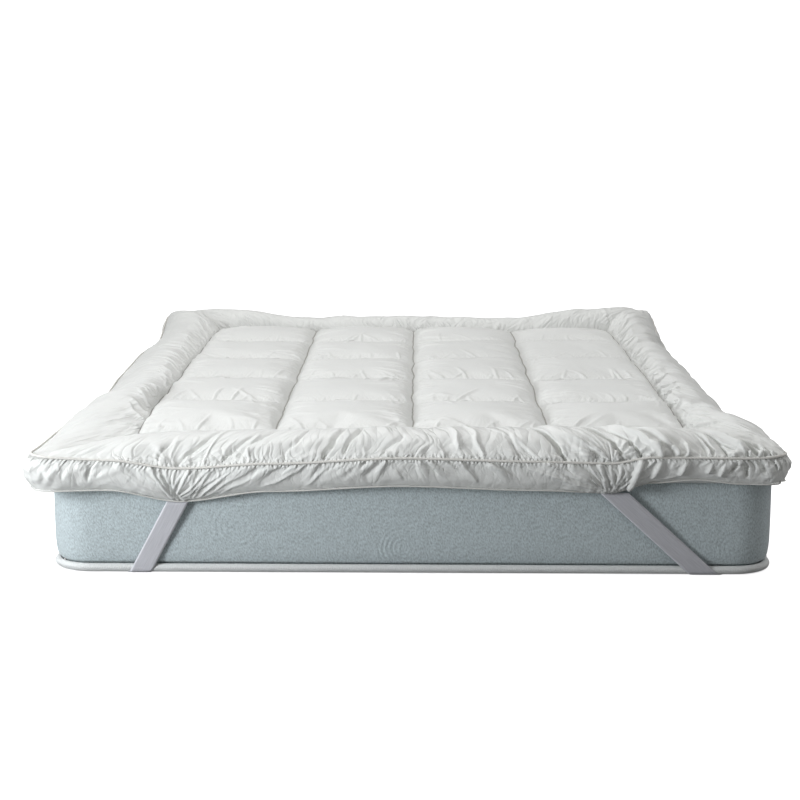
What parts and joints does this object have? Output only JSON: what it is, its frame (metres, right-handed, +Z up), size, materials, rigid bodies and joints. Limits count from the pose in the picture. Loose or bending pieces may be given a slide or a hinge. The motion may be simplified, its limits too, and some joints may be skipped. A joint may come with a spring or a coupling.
{
  "type": "mattress topper on a mattress",
  "caption": "Quilted, filled mattress topper with a piped padded border, held by elastic corner straps on a plain mattress.",
  "frame": {"origin": "middle of the mattress's footprint, on the surface that it stands on", "axes": "+Z up, +X to the right and +Y from the foot end to the head end"},
  "size_m": [1.5562, 2.1227, 0.3233],
  "materials": {
    "cotton": "soft, tightly woven cotton with a slight sheen",
    "cord_cover": "cotton over cord",
    "elastic": "matt woven elastic",
    "knit": "matt knitted cover",
    "tape_cover": "matt woven tape"
  },
  "bodies": {
    "root": {"topper": "cotton", "piping_upper": "cord_cover", "piping_lower": "cord_cover", "strap_foot_left": "elastic", "strap_foot_right": "elastic", "strap_head_left": "elastic", "strap_head_right": "elastic", "mattress": "knit", "mattress_tape": "tape_cover"}
  },
  "joints": []
}
